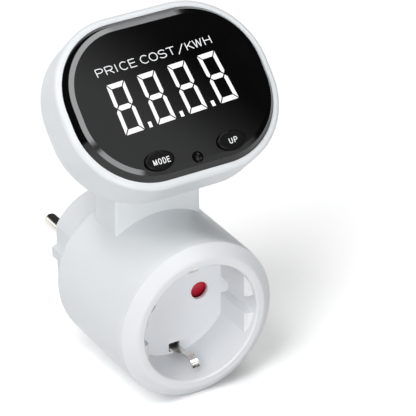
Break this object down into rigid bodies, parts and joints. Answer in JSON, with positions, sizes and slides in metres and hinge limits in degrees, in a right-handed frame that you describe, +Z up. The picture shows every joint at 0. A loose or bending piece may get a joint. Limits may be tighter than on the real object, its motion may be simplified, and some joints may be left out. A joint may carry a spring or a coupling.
{
  "type": "plug-in energy meter",
  "caption": "Round wall-plug energy meter: earthed plug at the back, shuttered socket in front, and a tilted oval display head with keys on a short neck.",
  "frame": {"origin": "centre of the plug's flat end face, midway between its two pins", "axes": "+Y into the wall along the pins; the outlet faces -Y; +X to the reader's right; +Z up the neck"},
  "size_m": [0.0724, 0.0835, 0.1184],
  "materials": {
    "shell_white": "satin",
    "cup_white": "satin",
    "base_white": "satin",
    "retainer_white": "matte",
    "window_black": "gloss",
    "key_black": "satin",
    "shutter_red": "satin",
    "pin_nickel": "polished",
    "earth_nickel": "satin",
    "contact_brass": "satin",
    "busbar_copper": "satin",
    "shunt_metal": "satin",
    "spring_steel": "satin",
    "screw_steel": "satin",
    "board_green": "satin",
    "film_capacitor_yellow": "satin",
    "can_aluminium": "satin",
    "varistor_blue": "satin",
    "resistor_green": "matte",
    "chip_black": "matte",
    "connector_white": "matte",
    "cable_grey": "matte",
    "module_black": "matte",
    "segment_white": "gloss",
    "switch_black": "matte",
    "plunger_white": "matte"
  },
  "bodies": {
    "meter": {"main_housing": "shell_white", "socket_cup": "cup_white", "plug_base": "base_white", "plug_pin_left": "pin_nickel", "plug_pin_right": "pin_nickel", "plug_earth_strip": "earth_nickel", "socket_earth_clips": "earth_nickel", "earth_link": "busbar_copper", "contact_sleeve_left": "contact_brass", "contact_sleeve_right": "contact_brass", "shutter_spring": "spring_steel", "shutter_retainer": "retainer_white", "power_board": "board_green", "line_busbar": "busbar_copper", "neutral_busbar": "busbar_copper", "current_shunt": "shunt_metal", "film_capacitor": "film_capacitor_yellow", "smoothing_capacitor": "can_aluminium", "varistor": "varistor_blue", "fusible_resistor": "resistor_green", "metering_chip": "chip_black", "board_connector": "connector_white", "ribbon_cable": "cable_grey", "head_shell": "shell_white", "display_window": "window_black", "digit_module": "module_black", "digit_segments": "segment_white", "display_board": "board_green", "display_driver": "chip_black", "display_connector": "connector_white", "push_switches": "switch_black", "display_screws": "screw_steel", "neck_screws": "screw_steel", "base_screws": "screw_steel", "board_screws": "screw_steel"},
    "mode_key": {"mode_button": "key_black", "mode_plunger": "plunger_white"},
    "up_key": {"up_button": "key_black", "up_plunger": "plunger_white"},
    "reset_key": {"reset_button": "key_black", "reset_plunger": "plunger_white"},
    "safety_shutter": {"shutter": "shutter_red"}
  },
  "joints": [
    {"name": "mode_press", "type": "slide", "parent": "meter", "child": "mode_key", "axis": [0, 0.7133, -0.7009], "range_m": [0, 0.0005], "stiffness_N_per_m": 300, "springref_m": -0.0005},
    {"name": "up_press", "type": "slide", "parent": "meter", "child": "up_key", "axis": [0, 0.7133, -0.7009], "range_m": [0, 0.0005], "stiffness_N_per_m": 300, "springref_m": -0.0005},
    {"name": "reset_press", "type": "slide", "parent": "meter", "child": "reset_key", "axis": [0, 0.7133, -0.7009], "range_m": [0, 0.0005], "stiffness_N_per_m": 300, "springref_m": -0.0005},
    {"name": "shutter_slide", "type": "slide", "parent": "meter", "child": "safety_shutter", "axis": [0, 0, 1], "range_m": [0, 0.008], "stiffness_N_per_m": 30, "springref_m": -0.002, "deforming": ["shutter_spring"]}
  ]
}
